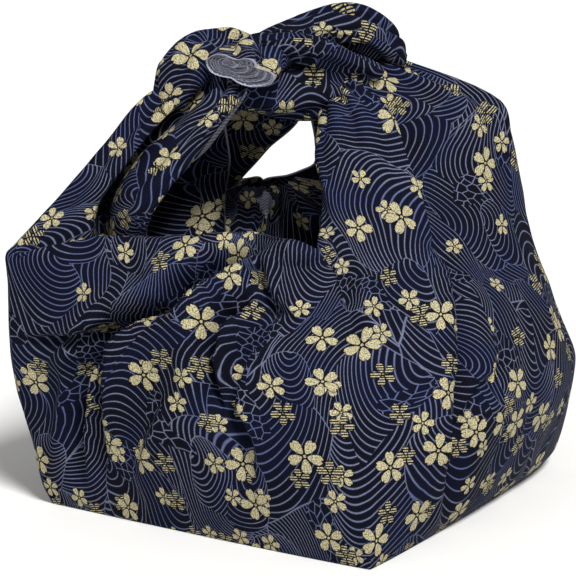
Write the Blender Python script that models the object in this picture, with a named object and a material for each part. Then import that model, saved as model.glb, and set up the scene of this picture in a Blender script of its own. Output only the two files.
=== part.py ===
"""A furoshiki wrap tied as a bag: one square of cotton cloth, gathered at its front and back and
knotted above the opening, so that the two tied corners make the handle.

The cloth is one solid. Its wall is lofted from rows of cross-sections, and the square knot on
top is built of the cloth's own bights and ends, joined to it. +X runs along the handle towards
the broad shoulder, -Y is the front, and the flat base stands at z = 0. Metres throughout.
"""

from collections import namedtuple
from math import pi

import bmesh
import bpy
import numpy as np

CLOTH_THICKNESS = 0.002
BASE_HALF = 0.180           # centre to corner of the square base that the cloth is folded round
FRONT_STEPS = 24            # columns of faces in each front quarter of the wall
BACK_STEPS = 14             # columns of faces in each back quarter
STRAND_ROWS = 2             # rows of faces between two sections of a strand
SWING = 0.8                 # how freely a curve swings past the points it joins: 1 is a full swing
FRONT_FADE = 0.020          # how far in front of the sides the folds reach full depth
FOLD_RUN_OUT = 0.020        # how far past its ends a fold dies away
RIBBON_STEPS = 4            # rings of faces between two stations of a knot ribbon
RIBBON_SIDES = 14
MOUTH_DEPTH = 0.016         # how deep the front end of the cloth is open
CLOTH_COLOUR = (0.012, 0.016, 0.050, 1.0)

# The closed wall, level by level: reach from the centre to each side, how blunt it is there, and
# the rows of faces up to the next level. 1 is a folded edge and 2 is a round.
Level = namedtuple("Level", "z left right front back blunt_left blunt_right blunt_ends rows")
LEVELS = (
    Level(0.000, BASE_HALF, BASE_HALF, BASE_HALF, BASE_HALF, 1.00, 1.05, 1.05, 1),
    Level(0.014, 0.186, 0.192, 0.181, 0.181, 1.00, 1.15, 1.12, 2),
    Level(0.045, 0.193, 0.199, 0.180, 0.180, 1.00, 1.30, 1.30, 3),
    Level(0.085, 0.202, 0.203, 0.172, 0.174, 1.00, 1.45, 1.50, 3),
    Level(0.120, 0.206, 0.190, 0.157, 0.160, 1.00, 1.50, 1.60, 3),
    Level(0.155, 0.207, 0.175, 0.132, 0.136, 1.00, 1.50, 1.65, 3),
)

WALL_ROWS = sum(level.rows for level in LEVELS)

# Above the closed wall the cloth parts into two strands. Each row gives a strand's section by
# points from its front hem, round its outside, to its back hem, at the shares ACROSS. The first
# row is shared: the cloth turns in over the rim between the gathers and the strands rise inside.
LeftSection = namedtuple("LeftSection", "name hem roll side valley panel edge back back_hem")
LEFT_ACROSS = (0.0, 0.07, 0.16, 0.25, 0.33, 0.5, 0.75, 1.0)
LEFT_STRAND = (
    LeftSection("rim", (-0.015, -0.100, 0.193), (-0.045, -0.088, 0.205), (-0.082, -0.074, 0.200),
                (-0.116, -0.058, 0.197), (-0.150, -0.036, 0.195), (-0.208, 0.000, 0.177),
                (-0.112, 0.064, 0.195), (-0.004, 0.105, 0.202)),
    LeftSection("tuck", (-0.088, -0.030, 0.174), (-0.104, -0.032, 0.172), (-0.120, -0.024, 0.174),
                (-0.137, -0.016, 0.178), (-0.154, -0.018, 0.182), (-0.200, -0.002, 0.186),
                (-0.112, 0.060, 0.207), (-0.024, 0.090, 0.205)),
    LeftSection("low", (-0.092, -0.028, 0.212), (-0.110, -0.040, 0.211), (-0.126, -0.030, 0.213),
                (-0.132, 0.004, 0.208), (-0.144, -0.018, 0.213), (-0.172, 0.000, 0.215),
                (-0.108, 0.050, 0.224), (-0.034, 0.062, 0.208)),
    LeftSection("middle", (-0.072, -0.022, 0.248), (-0.090, -0.042, 0.249),
                (-0.108, -0.032, 0.248), (-0.110, -0.010, 0.251), (-0.118, -0.018, 0.253),
                (-0.1405, 0.000, 0.2485), (-0.092, 0.036, 0.252), (-0.016, 0.036, 0.238)),
    LeftSection("high", (-0.045, -0.022, 0.283), (-0.058, -0.038, 0.283), (-0.072, -0.028, 0.282),
                (-0.074, -0.014, 0.284), (-0.083, -0.016, 0.286), (-0.107, 0.000, 0.284),
                (-0.072, 0.024, 0.284), (0.002, 0.016, 0.264)),
    LeftSection("knot", (-0.034, -0.012, 0.294), (-0.044, -0.018, 0.297), (-0.054, -0.014, 0.298),
                (-0.056, -0.008, 0.300), (-0.060, -0.004, 0.300), (-0.068, 0.000, 0.299),
                (-0.050, 0.012, 0.300), (-0.010, 0.010, 0.286)),
)
RightSection = namedtuple("RightSection", "name hem roll panel lap under outer edge back back_hem")
RIGHT_ACROSS = (0.0, 0.05, 0.125, 0.21, 0.25, 0.36, 0.5, 0.75, 1.0)
RIGHT_STRAND = (
    RightSection("rim", (-0.015, -0.100, 0.193), (0.006, -0.102, 0.190), (0.038, -0.096, 0.188),
                 (0.066, -0.085, 0.188), (0.074, -0.070, 0.188), (0.120, -0.048, 0.187),
                 (0.164, 0.000, 0.188), (0.100, 0.072, 0.192), (-0.004, 0.105, 0.202)),
    RightSection("lip", (-0.008, -0.080, 0.206), (0.004, -0.090, 0.208), (0.034, -0.088, 0.206),
                 (0.063, -0.077, 0.205), (0.071, -0.064, 0.205), (0.116, -0.042, 0.204),
                 (0.160, 0.000, 0.205), (0.098, 0.066, 0.206), (0.012, 0.094, 0.207)),
    RightSection("low", (-0.001, -0.054, 0.226), (0.000, -0.068, 0.229), (0.030, -0.070, 0.225),
                 (0.060, -0.062, 0.224), (0.068, -0.050, 0.224), (0.112, -0.036, 0.224),
                 (0.156, 0.000, 0.226), (0.096, 0.056, 0.226), (0.024, 0.066, 0.220)),
    RightSection("middle", (0.002, -0.032, 0.244), (0.000, -0.047, 0.247), (0.028, -0.058, 0.246),
                 (0.058, -0.048, 0.245), (0.066, -0.037, 0.246), (0.108, -0.030, 0.247),
                 (0.151, 0.000, 0.248), (0.090, 0.044, 0.248), (0.018, 0.040, 0.242)),
    RightSection("high", (0.008, -0.020, 0.263), (0.006, -0.034, 0.268), (0.026, -0.046, 0.271),
                 (0.052, -0.038, 0.268), (0.060, -0.029, 0.270), (0.098, -0.022, 0.276),
                 (0.143, 0.000, 0.271), (0.078, 0.030, 0.276), (0.010, 0.022, 0.262)),
    RightSection("knot", (0.008, -0.010, 0.270), (0.010, -0.020, 0.278), (0.018, -0.028, 0.288),
                 (0.028, -0.024, 0.295), (0.034, -0.016, 0.298), (0.050, -0.008, 0.302),
                 (0.070, 0.000, 0.302), (0.036, 0.020, 0.292), (0.008, 0.010, 0.270)),
)

# Folds pressed into the front wall. A fold runs down along (x, z) points, with a ridge on its
# line and a trough that lies `offset` to the left of the line's run, which is towards +X.
Fold = namedtuple("Fold", "name ridge ridge_width trough trough_width offset line")
FOLDS = (
    Fold("great", 0.008, 0.018, 0.018, 0.011, 0.019,
         ((-0.020, 0.203), (-0.050, 0.188), (-0.085, 0.173), (-0.128, 0.150), (-0.150, 0.134),
          (-0.174, 0.100), (-0.182, 0.040))),
    Fold("upper", 0.003, 0.010, 0.006, 0.007, 0.010,
         ((-0.020, 0.208), (-0.060, 0.190), (-0.095, 0.172), (-0.120, 0.157))),
    Fold("outer", 0.004, 0.010, 0.008, 0.007, 0.011,
         ((-0.128, 0.170), (-0.150, 0.157), (-0.172, 0.150), (-0.190, 0.139))),
    Fold("lower", 0.005, 0.012, 0.008, 0.009, 0.014,
         ((-0.006, 0.186), (-0.036, 0.158), (-0.062, 0.136), (-0.074, 0.110), (-0.070, 0.094),
          (-0.064, 0.075), (-0.066, 0.048))),
    Fold("pocket", 0.003, 0.008, 0.014, 0.009, 0.008,
         ((-0.006, 0.200), (-0.022, 0.188), (-0.028, 0.160))),
    Fold("lap", 0.005, 0.014, 0.009, 0.009, 0.013,
         ((0.064, 0.200), (0.064, 0.163), (0.061, 0.141), (0.056, 0.113), (0.053, 0.082),
          (0.055, 0.030))),
    Fold("pleat", 0.003, 0.010, 0.004, 0.008, 0.010,
         ((0.100, 0.120), (0.082, 0.098), (0.064, 0.060))),
)

# The square knot: each bight or end is a fat ribbon along a few stations. A station gives the
# centre, half its width across the ribbon, half its thickness, and how far its width leans from
# level, in degrees.
Station = namedtuple("Station", "x y z half_width half_thick lean")
KNOT = {
    "wrap": (
        Station(-0.030, 0.016, 0.308, 0.012, 0.010, 0),
        Station(-0.050, 0.012, 0.313, 0.015, 0.012, 10),
        Station(-0.070, 0.004, 0.309, 0.018, 0.013, 20),
        Station(-0.086, -0.002, 0.297, 0.019, 0.012, 20),
        Station(-0.094, -0.004, 0.282, 0.016, 0.008, 10),
    ),
    "front_end": (
        Station(-0.014, 0.004, 0.305, 0.014, 0.012, 0),
        Station(-0.030, -0.012, 0.311, 0.020, 0.014, 4),
        Station(-0.042, -0.026, 0.309, 0.024, 0.014, 8),
        Station(-0.053, -0.038, 0.304, 0.026, 0.012, 10),
    ),
    "band": (
        Station(-0.038, -0.008, 0.306, 0.010, 0.008, 0),
        Station(-0.024, -0.022, 0.317, 0.012, 0.008, 30),
        Station(0.002, -0.026, 0.314, 0.013, 0.008, 40),
        Station(0.026, -0.022, 0.304, 0.012, 0.007, 30),
        Station(0.046, -0.016, 0.296, 0.010, 0.005, 20),
    ),
    "back_end": (
        Station(-0.030, 0.004, 0.312, 0.012, 0.010, 0),
        Station(-0.006, 0.004, 0.320, 0.018, 0.011, 0),
        Station(0.020, 0.006, 0.326, 0.022, 0.014, 0),
        Station(0.042, 0.008, 0.323, 0.026, 0.016, 0),
        Station(0.060, 0.008, 0.312, 0.024, 0.013, 0),
        Station(0.068, 0.008, 0.303, 0.018, 0.007, 0),
    ),
    "bight": (
        Station(-0.058, -0.006, 0.290, 0.014, 0.010, 60),
        Station(-0.036, -0.014, 0.287, 0.016, 0.012, 70),
        Station(-0.010, -0.016, 0.284, 0.018, 0.012, 80),
        Station(0.018, -0.016, 0.284, 0.018, 0.012, 80),
        Station(0.036, -0.012, 0.288, 0.014, 0.010, 70),
    ),
}


def curve_through(points, rows_between):
    """Points on a smooth curve through rows of points, with the given rows between each two."""
    points = np.asarray(points, float)
    apart = np.linalg.norm(np.diff(points[..., :3], axis=0), axis=-1)
    gaps = np.sqrt(apart.reshape(len(points) - 1, -1).mean(axis=1))
    knots = np.concatenate([[0.0], np.cumsum(gaps)])
    slopes = SWING * np.gradient(points, knots, axis=0)
    rows = []
    for i, span in enumerate(gaps):
        for t in np.arange(rows_between[i]) / rows_between[i]:
            rows.append(
                (2 * t**3 - 3 * t**2 + 1) * points[i] + (t**3 - 2 * t**2 + t) * span * slopes[i]
                + (3 * t**2 - 2 * t**3) * points[i + 1] + (t**3 - t**2) * span * slopes[i + 1]
            )
    return np.array(rows + [points[-1]])


def quarter(reach, end, blunt_side, blunt_end, z, steps):
    """A quarter of a level's outline in even steps, from its front or back round to its side."""
    share = np.cos(np.linspace(0.0, pi / 2, 200)) ** 2
    x = reach * (1.0 - share) ** (1.0 / blunt_end)
    y = end * share ** (1.0 / blunt_side)
    far = np.concatenate([[0.0], np.cumsum(np.hypot(np.diff(x), np.diff(y)))])
    at = np.linspace(0.0, far[-1], steps + 1)
    return np.stack([np.interp(at, far, x), np.interp(at, far, y), np.full(steps + 1, z)], axis=1)


def level_row(level, side):
    """Half of a level's outline, from the front round the left (-1) or right (+1) to the back."""
    reach, blunt = (level.left, level.blunt_left) if side < 0 else (level.right, level.blunt_right)
    ends = level.blunt_ends
    front = quarter(side * reach, -level.front, blunt, ends, level.z, FRONT_STEPS)
    back = quarter(side * reach, level.back, blunt, ends, level.z, BACK_STEPS)
    return np.concatenate([front, back[-2::-1]])


def section_row(section, across):
    """A strand's section as a row with as many points as a level's half."""
    dense = curve_through(section[1:], [40] * (len(across) - 1))
    shares = np.interp(np.arange(len(dense)) / 40, np.arange(len(across)), across)
    front = np.linspace(0.0, 0.5, FRONT_STEPS + 1)
    back = np.linspace(0.5, 1.0, BACK_STEPS + 1)
    at = np.concatenate([front, back[1:]])
    return np.stack([np.interp(at, shares, dense[:, k]) for k in range(3)], axis=1)


def half_wall(side, strand, across):
    """Rows of points from the base up one half of the wall and its strand to the knot."""
    rows = [level_row(level, side) for level in LEVELS]
    rows += [section_row(section, across) for section in strand]
    rows_between = [level.rows for level in LEVELS] + [STRAND_ROWS] * (len(strand) - 1)
    return curve_through(rows, rows_between)


def from_line(x, z, line):
    """How far each point lies to the left of a line's run, and how far past its nearer end."""
    nearest = np.full(x.shape, 1e9)
    aside = np.zeros(x.shape)
    beyond = np.zeros(x.shape)
    for k, ((ax, az), (bx, bz)) in enumerate(zip(line, line[1:])):
        length = np.hypot(bx - ax, bz - az)
        along = ((x - ax) * (bx - ax) + (z - az) * (bz - az)) / length
        left = ((bx - ax) * (z - az) - (bz - az) * (x - ax)) / length
        over = np.maximum(-along, along - length).clip(0.0)
        far = np.hypot(left, over)
        closer = far < nearest
        nearest = np.where(closer, far, nearest)
        aside = np.where(closer, np.copysign(far, left), aside)
        ends = np.where(along < 0, float(k == 0), float(k == len(line) - 2))
        beyond = np.where(closer, over * ends, beyond)
    return aside, beyond


def press_folds(grid, side):
    """Moves the front wall's points out and in along its folds."""
    across = np.gradient(grid, axis=1)
    upward = np.gradient(grid, axis=0)
    out = side * np.cross(across, upward)
    out /= np.linalg.norm(out, axis=2, keepdims=True) + 1e-12
    x, y, z = grid[..., 0], grid[..., 1], grid[..., 2]
    rows = np.arange(len(grid))[:, None]
    free = np.clip((WALL_ROWS - rows) / 2.0, 0.0, 1.0) * np.clip(rows / 2.0, 0.0, 1.0)
    free = free * np.clip(-y / FRONT_FADE, 0.0, 1.0)
    shift = np.zeros(x.shape)
    for fold in FOLDS:
        aside, beyond = from_line(x, z, fold.line)
        fade = np.exp(-(beyond / FOLD_RUN_OUT) ** 2)
        shift += fade * fold.ridge * np.exp(-(aside / fold.ridge_width) ** 2)
        shift -= fade * fold.trough * np.exp(-((aside - fold.offset) / fold.trough_width) ** 2)
    return grid + out * (shift * free)[..., None]


def new_object(name, mesh):
    data = bpy.data.meshes.new(name)
    mesh.to_mesh(data)
    mesh.free()
    data.shade_smooth()
    made = bpy.data.objects.new(name, data)
    bpy.context.scene.collection.objects.link(made)
    return made


def ribbon(name, stations, mouth):
    """A closed solid swept along the stations. With a mouth its far end is hollowed."""
    rows = curve_through(np.array(stations), [RIBBON_STEPS] * (len(stations) - 1))
    centre, wide, thick = rows[:, :3], rows[:, 3:4], rows[:, 4:5]
    lean = np.radians(rows[:, 5:6])
    ahead = np.gradient(centre, axis=0)
    ahead /= np.linalg.norm(ahead, axis=1, keepdims=True)
    level = np.cross(ahead, (0.0, 0.0, 1.0))
    level /= np.linalg.norm(level, axis=1, keepdims=True)
    across = level * np.cos(lean) + np.cross(level, ahead) * np.sin(lean)
    across, through = across * wide, np.cross(across, ahead) * thick
    turns = np.arange(RIBBON_SIDES) * 2 * pi / RIBBON_SIDES
    rings = [
        centre[i] + np.outer(np.cos(turns), across[i]) + np.outer(np.sin(turns), through[i])
        for i in range(len(rows))
    ]
    if mouth:
        lip, middle = rings[-1], centre[-1]
        rings.append(middle + (lip - middle) * 0.80 - 0.1 * mouth * ahead[-1])
        rings.append(middle + (lip - middle) * 0.55 - mouth * ahead[-1])
    mesh = bmesh.new()
    rings = [[mesh.verts.new(p) for p in ring] for ring in rings]
    for low, high in zip(rings, rings[1:]):
        for j in range(RIBBON_SIDES):
            k = (j + 1) % RIBBON_SIDES
            mesh.faces.new([low[k], low[j], high[j], high[k]])
    mesh.faces.new(rings[0])
    mesh.faces.new(rings[-1][::-1])
    made = new_object(name, mesh)
    made.hide_render = True
    made.display_type = "WIRE"
    return made


def wall():
    """The single sheet from the base up both strands, sewn together below the gathers."""
    left = press_folds(half_wall(-1, LEFT_STRAND, LEFT_ACROSS), +1)
    right = press_folds(half_wall(+1, RIGHT_STRAND, RIGHT_ACROSS), -1)
    last = FRONT_STEPS + BACK_STEPS
    mesh = bmesh.new()
    left_points = [[mesh.verts.new(p) for p in row] for row in left]
    right_points = []
    for i, row in enumerate(right):
        inner = [mesh.verts.new(p) for p in row[1:-1]]
        if i <= WALL_ROWS:
            right_points.append([left_points[i][0], *inner, left_points[i][last]])
        else:
            right_points.append([mesh.verts.new(row[0]), *inner, mesh.verts.new(row[-1])])
    for points, turn in ((left_points, 1), (right_points, -1)):
        for low, high in zip(points, points[1:]):
            for j in range(last):
                mesh.faces.new([low[j], high[j], high[j + 1], low[j + 1]][::turn])
    mesh.faces.new(left_points[0] + right_points[0][-2:0:-1])
    return new_object("furoshiki_cloth", mesh)


def cloth_material():
    material = bpy.data.materials.new("woven cotton")
    material.use_nodes = True
    shader = material.node_tree.nodes["Principled BSDF"]
    shader.inputs["Base Color"].default_value = CLOTH_COLOUR
    shader.inputs["Roughness"].default_value = 0.85
    return material


def main():
    for old in list(bpy.data.objects):
        bpy.data.objects.remove(old)
    cloth = wall()
    cloth.data.materials.append(cloth_material())
    thickness = cloth.modifiers.new("thickness", "SOLIDIFY")
    thickness.thickness = CLOTH_THICKNESS
    thickness.offset = -1.0
    for name, stations in KNOT.items():
        join = cloth.modifiers.new(name, "BOOLEAN")
        join.operation = "UNION"
        join.solver = "EXACT"
        join.object = ribbon(name, stations, MOUTH_DEPTH if name == "front_end" else 0.0)


main()
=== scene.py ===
from collections import namedtuple
from math import cos, pi, radians, sin

import bmesh
import bpy
import numpy as np
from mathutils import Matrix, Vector, noise


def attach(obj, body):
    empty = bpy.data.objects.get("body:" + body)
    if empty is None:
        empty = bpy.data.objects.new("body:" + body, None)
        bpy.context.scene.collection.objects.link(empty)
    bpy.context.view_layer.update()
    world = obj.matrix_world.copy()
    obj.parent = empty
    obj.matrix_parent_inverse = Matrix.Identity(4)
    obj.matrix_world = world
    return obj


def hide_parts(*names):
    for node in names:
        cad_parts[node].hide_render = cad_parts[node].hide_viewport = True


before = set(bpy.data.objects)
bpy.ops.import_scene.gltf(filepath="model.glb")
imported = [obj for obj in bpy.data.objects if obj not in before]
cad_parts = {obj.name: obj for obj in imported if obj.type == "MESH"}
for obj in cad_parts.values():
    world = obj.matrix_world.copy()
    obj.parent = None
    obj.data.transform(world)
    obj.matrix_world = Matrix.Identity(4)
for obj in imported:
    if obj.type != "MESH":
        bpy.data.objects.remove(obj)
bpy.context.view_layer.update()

# The studio. A pale matt floor that the bag stands on, lit by one broad lamp from the front and
# above, a weak soft one from the left, and an even white room. The camera stands 1.6 m away, a
# little to the left of square on and above the opening, with a long portrait lens.
scene = bpy.context.scene
CAMERA_TURN = radians(-13.57)
CAMERA_RISE = radians(13.3)
CAMERA_AIM = Vector((-0.0108, 0.0, 0.1447))
CAMERA_DISTANCE = 1.61
FILM_WIDTH = 36.0
LENS = 143.75
FLOOR_SIZE = 14.0
FLOOR_DROP = 0.0005             # the floor's gap to the base, so that the two don't flicker
ROOM_LIGHT = 0.36
LAMPS = (
    # name, where it stands, softness in degrees, strength
    ("key", (0.3, -1.8, 2.3), 16, 3.9),
    ("fill", (-1.6, -1.5, 0.9), 50, 0.5),
)


def linear(colour):
    """An sRGB hex colour as linear RGBA."""
    parts = [int(colour[i:i + 2], 16) / 255 for i in (1, 3, 5)]
    return [c / 12.92 if c <= 0.04045 else ((c + 0.055) / 1.055) ** 2.4 for c in parts] + [1.0]


def aim(thing, target):
    """Turns a camera or lamp, which look along their own -Z, to face the target."""
    away = thing.location - target
    thing.rotation_mode = "QUATERNION"
    thing.rotation_quaternion = away.to_track_quat("Z", "Y")


camera = bpy.data.objects.new("camera", bpy.data.cameras.new("camera"))
scene.collection.objects.link(camera)
camera.data.sensor_width = FILM_WIDTH
camera.data.lens = LENS
camera.location = CAMERA_AIM + CAMERA_DISTANCE * Vector((
    sin(CAMERA_TURN) * cos(CAMERA_RISE), -cos(CAMERA_TURN) * cos(CAMERA_RISE), sin(CAMERA_RISE)))
aim(camera, CAMERA_AIM)
scene.camera = camera

for name, place, softness, strength in LAMPS:
    lamp = bpy.data.objects.new(name, bpy.data.lights.new(name, "SUN"))
    scene.collection.objects.link(lamp)
    lamp.data.angle = radians(softness)
    lamp.data.energy = strength
    lamp.location = place
    aim(lamp, CAMERA_AIM)

room = bpy.data.worlds.new("room")
room.use_nodes = True
white = room.node_tree.nodes["Background"]
white.inputs["Color"].default_value = linear("#ffffff")
white.inputs["Strength"].default_value = ROOM_LIGHT
scene.world = room
scene.view_settings.view_transform = "Standard"

bpy.ops.mesh.primitive_plane_add(size=FLOOR_SIZE)
floor = bpy.context.object
floor.name = "floor"
floor.location.z = -FLOOR_DROP
matt = bpy.data.materials.new("matt paper")
matt.use_nodes = True
paper = matt.node_tree.nodes["Principled BSDF"]
paper.inputs["Base Color"].default_value = linear("#e9e8e6")
paper.inputs["Roughness"].default_value = 0.9
floor.data.materials.append(matt)


# The cloth. One 90 cm square of woven cotton stands folded round a square base: its sides rise
# to the rims of two openings, where it is gathered at the front and the back, and its other two
# corners rise as the strands of the handle. The sections below are real sizes in metres.
CLOTH_THICKNESS = 0.0012
STEPS = {-1: (136, 30), +1: (76, 26)}   # faces across the front and the back of each half
BASE_HALF = 0.180               # from the base's centre to each of its corners
SWING = 0.8                     # how freely a curve swings through its points, 1 for fully

# The closed wall, level by level: its reach to each side, how blunt it is there (1 is a folded
# edge, 2 is round), and the rows of faces up to the next level.
Level = namedtuple("Level", "z left right front back blunt_left blunt_right blunt_ends rows")
LEVELS = (
    Level(0.000, BASE_HALF, BASE_HALF, BASE_HALF, BASE_HALF, 1.00, 1.05, 1.05, 8),
    Level(0.014, 0.186, 0.192, 0.181, 0.181, 1.00, 1.15, 1.12, 18),
    Level(0.045, 0.193, 0.199, 0.180, 0.180, 1.00, 1.30, 1.30, 24),
    Level(0.085, 0.202, 0.203, 0.172, 0.174, 1.00, 1.45, 1.50, 22),
    Level(0.120, 0.206, 0.190, 0.157, 0.160, 1.00, 1.50, 1.60, 20),
    Level(0.155, 0.207, 0.175, 0.132, 0.136, 1.00, 1.50, 1.65, 22),
)
WALL_ROWS = sum(level.rows for level in LEVELS)

# The strands, section by section: points from the front hem round the outside to the back hem,
# at the shares ACROSS, and the rows of faces up to the next section.
LeftSection = namedtuple("LeftSection", "rows hem roll side valley panel edge back back_hem")
LEFT_ACROSS = (0.0, 0.07, 0.16, 0.25, 0.33, 0.5, 0.75, 1.0)
LEFT_STRAND = (
    LeftSection(12, (-0.015, -0.100, 0.193), (-0.045, -0.088, 0.205), (-0.082, -0.074, 0.200),
                (-0.116, -0.058, 0.197), (-0.150, -0.036, 0.195), (-0.208, 0.000, 0.177),
                (-0.112, 0.064, 0.195), (-0.004, 0.105, 0.202)),
    LeftSection(9, (-0.112, -0.026, 0.182), (-0.118, -0.030, 0.177), (-0.126, -0.024, 0.176),
                (-0.139, 0.004, 0.180), (-0.154, -0.018, 0.182), (-0.200, -0.002, 0.186),
                (-0.112, 0.060, 0.207), (-0.024, 0.090, 0.205)),
    LeftSection(9, (-0.108, -0.030, 0.220), (-0.118, -0.050, 0.213), (-0.131, -0.036, 0.213),
                (-0.138, 0.022, 0.208), (-0.147, -0.018, 0.213), (-0.172, 0.000, 0.215),
                (-0.108, 0.050, 0.224), (-0.034, 0.062, 0.208)),
    LeftSection(9, (-0.072, -0.022, 0.248), (-0.090, -0.048, 0.249), (-0.107, -0.037, 0.248),
                (-0.113, 0.010, 0.251), (-0.118, -0.018, 0.253), (-0.1405, 0.000, 0.2485),
                (-0.092, 0.036, 0.252), (-0.016, 0.036, 0.238)),
    LeftSection(6, (-0.045, -0.022, 0.283), (-0.058, -0.038, 0.283), (-0.072, -0.028, 0.282),
                (-0.076, -0.002, 0.284), (-0.083, -0.016, 0.286), (-0.107, 0.000, 0.284),
                (-0.072, 0.024, 0.284), (0.002, 0.016, 0.264)),
    LeftSection(0, (-0.034, -0.012, 0.294), (-0.044, -0.018, 0.297), (-0.054, -0.014, 0.298),
                (-0.056, -0.008, 0.300), (-0.060, -0.004, 0.300), (-0.068, 0.000, 0.299),
                (-0.050, 0.012, 0.300), (-0.010, 0.010, 0.286)),
)
RightSection = namedtuple("RightSection", "rows hem roll panel lap under outer edge back back_hem")
RIGHT_ACROSS = (0.0, 0.05, 0.125, 0.21, 0.25, 0.36, 0.5, 0.75, 1.0)
RIGHT_STRAND = (
    RightSection(12, (-0.015, -0.100, 0.193), (0.006, -0.102, 0.190), (0.038, -0.096, 0.188),
                 (0.067, -0.087, 0.188), (0.071, -0.065, 0.188), (0.120, -0.048, 0.187),
                 (0.164, 0.000, 0.188), (0.100, 0.072, 0.192), (-0.004, 0.105, 0.202)),
    RightSection(9, (-0.008, -0.080, 0.206), (0.004, -0.090, 0.208), (0.034, -0.088, 0.206),
                 (0.065, -0.080, 0.205), (0.066, -0.056, 0.205), (0.116, -0.042, 0.204),
                 (0.160, 0.000, 0.205), (0.098, 0.066, 0.206), (0.012, 0.094, 0.207)),
    RightSection(9, (-0.001, -0.054, 0.226), (0.000, -0.068, 0.229), (0.030, -0.070, 0.225),
                 (0.063, -0.065, 0.224), (0.061, -0.042, 0.224), (0.112, -0.036, 0.224),
                 (0.156, 0.000, 0.226), (0.096, 0.056, 0.226), (0.024, 0.066, 0.220)),
    RightSection(9, (0.002, -0.032, 0.244), (0.000, -0.047, 0.247), (0.028, -0.058, 0.246),
                 (0.060, -0.051, 0.245), (0.059, -0.031, 0.246), (0.108, -0.030, 0.247),
                 (0.151, 0.000, 0.248), (0.090, 0.044, 0.248), (0.018, 0.040, 0.242)),
    RightSection(6, (0.008, -0.020, 0.263), (0.006, -0.034, 0.268), (0.026, -0.046, 0.271),
                 (0.054, -0.040, 0.268), (0.055, -0.024, 0.270), (0.098, -0.022, 0.276),
                 (0.143, 0.000, 0.271), (0.078, 0.030, 0.276), (0.010, 0.022, 0.262)),
    RightSection(0, (0.008, -0.010, 0.270), (0.010, -0.020, 0.278), (0.018, -0.028, 0.288),
                 (0.028, -0.024, 0.295), (0.034, -0.016, 0.298), (0.050, -0.008, 0.302),
                 (0.070, 0.000, 0.302), (0.036, 0.020, 0.292), (0.008, 0.010, 0.270)),
)

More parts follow.
